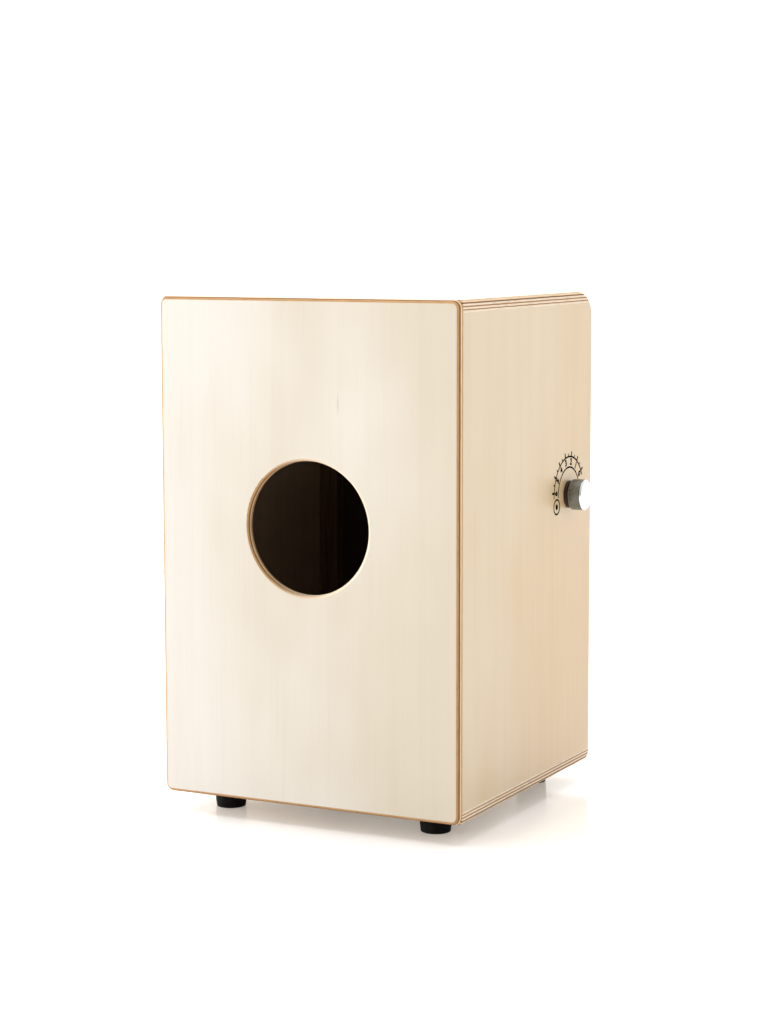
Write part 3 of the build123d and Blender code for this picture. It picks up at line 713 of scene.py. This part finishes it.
def coil(x, y, low, high, outer):
    """A close coil of round wire along Z, as vertices and faces."""
    sides = WIRE_SIDES
    reach = outer - STRAND_WIRE
    height = high - low - 2 * STRAND_WIRE
    count = int(height / STRAND_PITCH * STEPS_PER_TURN)
    steps = np.arange(count + 1)
    turn = 2 * math.pi * steps / STEPS_PER_TURN
    z = low + STRAND_WIRE + height * steps / count
    out = np.stack([np.cos(turn), np.sin(turn), 0 * turn], 1)
    slope = STRAND_PITCH / (2 * math.pi * reach)
    ahead = np.stack([-np.sin(turn), np.cos(turn), slope + 0 * turn], 1)
    ahead /= np.linalg.norm(ahead, axis=1)[:, None]
    up = np.cross(out, ahead)
    middle = np.stack([x + reach * out[:, 0], y + reach * out[:, 1], z], 1)
    rows = []
    for side in range(sides):
        angle = 2 * math.pi * side / sides
        rows.append(middle + STRAND_WIRE * (math.cos(angle) * out + math.sin(angle) * up))
    vertices = np.stack(rows, 1).reshape(-1, 3)
    faces = [
        (step * sides + side, step * sides + (side + 1) % sides,
         (step + 1) * sides + (side + 1) % sides, (step + 1) * sides + side)
        for step in range(count) for side in range(sides)
    ]
    faces.append(tuple(range(sides)))
    faces.append(tuple(count * sides + side for side in reversed(range(sides))))
    return vertices, faces


def make_strands():
    """Two sets of coiled snare wires, side by side in the space that the CAD rods hold."""
    steel = metal("strand_steel", (0.70, 0.70, 0.69, 1), 0.2, 0.35)
    for side in ("left", "right"):
        node = "snare_wires_" + side
        low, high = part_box(node)
        radius = (high.y - low.y) / 2
        gap = (high.x - low.x - 2 * radius) / (STRANDS - 1)
        vertices, faces = [], []
        for strand in range(STRANDS):
            x = low.x + radius + strand * gap
            more, rings = coil(x, low.y + radius, low.z, high.z, radius)
            faces += [tuple(index + len(vertices) for index in face) for face in rings]
            vertices += more.tolist()
        add_piece("strands_" + side, vertices, faces, [steel], "snare", (node,), 80)


# ---- Printed scale round the knob -------------------------------------------------------------

# Radii and widths are in millimetres, angles in degrees from the front and upwards.
INNER_LINE, OUTER_LINE, HALF_LINE = 25.6, 35.6, 0.8
SCALE_START, SCALE_END, SCALE_MARGIN = 26, 182, 8
MARKS = 7
LONG_TICK, SHORT_TICK = (40.4, 2.0), (38.6, 1.5)
RING_RADIUS, RING_ANGLE = 30.5, 198
RING_OUTER, RING_INNER = 7.8, 6.0
DOT_OUTER, DOT_INNER = 2.8, 0.05
NUMBER_RADIUS, NUMBER_SIZE, NUMBER_BOLD = 30.6, 8.4, 0.5
INK_PROUD = 0.04 * MM
INK_THICK = 0.05 * MM
SCALE_CENTRE = Vector((RIGHT_FACE - INK_PROUD, KNOB_CENTRE.y, KNOB_CENTRE.z))


def scale_point(radius, degrees, x=0.0):
    """A point of the scale, from a radius in metres: 0 degrees is towards the front, 90 up."""
    angle = math.radians(degrees)
    return SCALE_CENTRE + Vector((x, -radius * math.cos(angle), radius * math.sin(angle)))


class InkLines:
    """Thin raised bands of ink, gathered as vertices and faces."""

    def __init__(self):
        self.vertices = []
        self.faces = []

    def strip(self, inner, outer):
        """A band between two rows of points."""
        first = len(self.vertices)
        sunk = Vector((INK_THICK, 0, 0))
        for a, b in zip(inner, outer):
            self.vertices.extend([a, b, a + sunk, b + sunk])
        for step in range(len(inner) - 1):
            i, j = first + 4 * step, first + 4 * step + 4
            self.faces.extend([(i, i + 1, j + 1, j), (i + 2, j + 2, j + 3, i + 3),
                               (i, j, j + 2, i + 2), (i + 1, i + 3, j + 3, j + 1)])
        i, j = first, first + 4 * (len(inner) - 1)
        self.faces.extend([(i, i + 2, i + 3, i + 1), (j, j + 1, j + 3, j + 2)])

    def arc(self, radius, steps=72):
        """A line of the scale along its whole sweep."""
        sweep = SCALE_END - SCALE_START
        turns = [SCALE_START + sweep * step / steps for step in range(steps + 1)]
        self.strip([scale_point((radius - HALF_LINE) * MM, t) for t in turns],
                   [scale_point((radius + HALF_LINE) * MM, t) for t in turns])

    def tick(self, turn, far, wide):
        """A short line outwards from the outer arc."""
        near = OUTER_LINE + HALF_LINE
        spread = math.degrees(wide / OUTER_LINE)
        self.strip([scale_point(r * MM, turn - spread / 2) for r in (near, far)],
                   [scale_point(r * MM, turn + spread / 2) for r in (near, far)])

    def ring(self, middle, outer, inner, steps=48):
        turns = [math.radians(360 * step / steps) for step in range(steps + 1)]
        spokes = [Vector((0, math.cos(t), math.sin(t))) for t in turns]
        self.strip([middle + spoke * inner * MM for spoke in spokes],
                   [middle + spoke * outer * MM for spoke in spokes])


def make_scale():
    """Ink on the side panel: two arcs, ticks, numbers between the arcs, and a ring with a dot."""
    lines = InkLines()
    lines.arc(INNER_LINE)
    lines.arc(OUTER_LINE)
    gap = (SCALE_END - SCALE_START - 2 * SCALE_MARGIN) / (MARKS - 1)
    for step in range(2 * MARKS - 1):
        turn = SCALE_START + SCALE_MARGIN + gap * step / 2
        lines.tick(turn, *(LONG_TICK if step % 2 == 0 else SHORT_TICK))
    middle = scale_point(RING_RADIUS * MM, RING_ANGLE)
    lines.ring(middle, RING_OUTER, RING_INNER)
    lines.ring(middle, DOT_OUTER, DOT_INNER)
    print_ink = ink()
    add_piece("scale_lines", lines.vertices, lines.faces, [print_ink], "box")

    # A number's own X goes towards the front, its Y up, and its Z out of the panel.
    upright = Matrix(((0, 0, -1), (-1, 0, 0), (0, 1, 0)))
    for mark in range(MARKS):
        turn = SCALE_START + SCALE_MARGIN + gap * mark
        curve = bpy.data.curves.new(f"scale_number_{mark}", "FONT")
        curve.body = str(mark)
        curve.size = NUMBER_SIZE * MM
        curve.offset = NUMBER_BOLD * MM
        curve.align_x, curve.align_y = "CENTER", "CENTER"
        curve.extrude = INK_THICK / 2
        number = bpy.data.objects.new(f"scale_number_{mark}", curve)
        bpy.context.scene.collection.objects.link(number)
        tilt = Matrix.Rotation(math.radians(turn - 90), 3, "Z")
        spot = Matrix.Translation(scale_point(NUMBER_RADIUS * MM, turn, INK_THICK / 2))
        number.matrix_world = spot @ (upright @ tilt).to_4x4()
        number.data.materials.append(print_ink)
        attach(number, "box")


# ---- Floor, lights and camera -----------------------------------------------------------------

FLOOR_SIZE = 60.0
FLOOR_LIFT = 0.24

# Azimuth, elevation, edge and core of each cone of directions that lights the scene, in degrees.
DIM_SIDE = (192, -6, 92, 20)
LEFT_SOFTBOX = (130, 5, 27, 10)
RIM_LIGHT = (93, 6, 22, 8)
BACKDROP = (20, 8, 62, 20)
WORLD_BRIGHT, WORLD_DIM = 0.85, 0.36
SOFTBOX_GLOW = 4.3
RIM_GLOW = 8.0
BACKDROP_GLOW = 0.5
BACKGROUND_SEEN = 1.05
WHITE = (1, 1, 1, 1)

SUN_AZIMUTH, SUN_ELEVATION = 75, 73
SUN_STRENGTH = 2.0
SUN_SPREAD = 60

CAMERA_AZIMUTH, CAMERA_ELEVATION = 207.05, 6.83
CAMERA_DISTANCE = 2.233
CAMERA_TARGET = Vector((0.0030, 0.0, 0.2751))
CAMERA_LENS = 84.34
CAMERA_SENSOR = 36.0
CAMERA_ROLL = -0.118
CLIP_NEAR, CLIP_FAR = 0.05, 200.0


def make_stage():
    """A pale, slightly glossy floor that the camera sees a little brighter than it is lit."""
    mesh = bpy.data.meshes.new("floor")
    corners = [(FLOOR_SIZE * x, FLOOR_SIZE * y, 0) for x, y in ((-1, -1), (1, -1), (1, 1), (-1, 1))]
    mesh.from_pydata(corners, [], [(0, 1, 2, 3)])
    shader = Shader("studio_floor")
    seen = shader.node("LightPath", {}).outputs["Is Camera Ray"]
    shader.surface({
        "Base Color": (0.97, 0.96, 0.945, 1),
        "Roughness": 0.10,
        "IOR": 1.42,
        "Emission Color": (1, 0.96, 0.91, 1),
        "Emission Strength": shader.math("MULTIPLY", seen, FLOOR_LIFT),
    })
    mesh.materials.append(shader.material)
    floor = bpy.data.objects.new("floor", mesh)
    bpy.context.scene.collection.objects.link(floor)


def make_world():
    """White all round for the camera. The light that falls on things is dimmer from the side that
    the rear faces, with a softbox and a rim light at the rear's left and a lit backdrop beyond the
    tapa."""
    world = bpy.data.worlds.new("studio")
    bpy.context.scene.world = world
    world.use_nodes = True
    nodes = Nodes(world.node_tree, "OutputWorld")
    direction = nodes.node("TexCoord", {}).outputs["Generated"]

    def cone(patch, outside, inside):
        """A number that goes softly from outside to inside within a cone of directions."""
        azimuth, elevation, edge, core = patch
        low, high = math.cos(math.radians(edge)), math.cos(math.radians(core))
        share = nodes.dot(direction, heading(azimuth, elevation))
        return nodes.between(share, low, high, outside, inside)

    strength = cone(DIM_SIDE, WORLD_BRIGHT, WORLD_DIM)
    for patch, glow in ((LEFT_SOFTBOX, SOFTBOX_GLOW), (RIM_LIGHT, RIM_GLOW),
                        (BACKDROP, BACKDROP_GLOW)):
        strength = nodes.math("ADD", strength, cone(patch, 0.0, glow))
    light = nodes.node("Background", {"Color": WHITE, "Strength": strength}).outputs[0]
    seen = nodes.node("Background", {"Color": WHITE, "Strength": BACKGROUND_SEEN}).outputs[0]
    by_camera = nodes.node("LightPath", {}).outputs["Is Camera Ray"]
    choose = nodes.node("MixShader", {0: by_camera, 1: light, 2: seen})
    nodes.put(nodes.output.inputs["Surface"], choose.outputs[0])


def make_sun():
    """A very soft sun, from high on the left."""
    sun = bpy.data.lights.new("overhead", "SUN")
    sun.energy = SUN_STRENGTH
    sun.angle = math.radians(SUN_SPREAD)
    lamp = bpy.data.objects.new("overhead", sun)
    back = heading(SUN_AZIMUTH, SUN_ELEVATION)
    lamp.rotation_euler = back.to_track_quat("Z", "Y").to_euler()
    bpy.context.scene.collection.objects.link(lamp)


def make_camera():
    data = bpy.data.cameras.new("camera")
    data.lens = CAMERA_LENS
    data.sensor_width = CAMERA_SENSOR
    data.clip_start, data.clip_end = CLIP_NEAR, CLIP_FAR
    camera = bpy.data.objects.new("camera", data)
    bpy.context.scene.collection.objects.link(camera)
    back = heading(CAMERA_AZIMUTH, CAMERA_ELEVATION)
    camera.location = CAMERA_TARGET + back * CAMERA_DISTANCE
    camera.rotation_mode = "QUATERNION"
    roll = Matrix.Rotation(math.radians(CAMERA_ROLL), 3, back)
    facing = roll @ back.to_track_quat("Z", "Y").to_matrix()
    camera.rotation_quaternion = facing.to_quaternion()
    bpy.context.scene.camera = camera


# ---- Scene ------------------------------------------------------------------------------------

bpy.context.scene.view_settings.view_transform = "Standard"
make_camera()
make_world()
make_sun()
make_stage()
dress_cad_nodes()
make_knob()
make_feet()
make_felt()
make_strands()
make_scale()
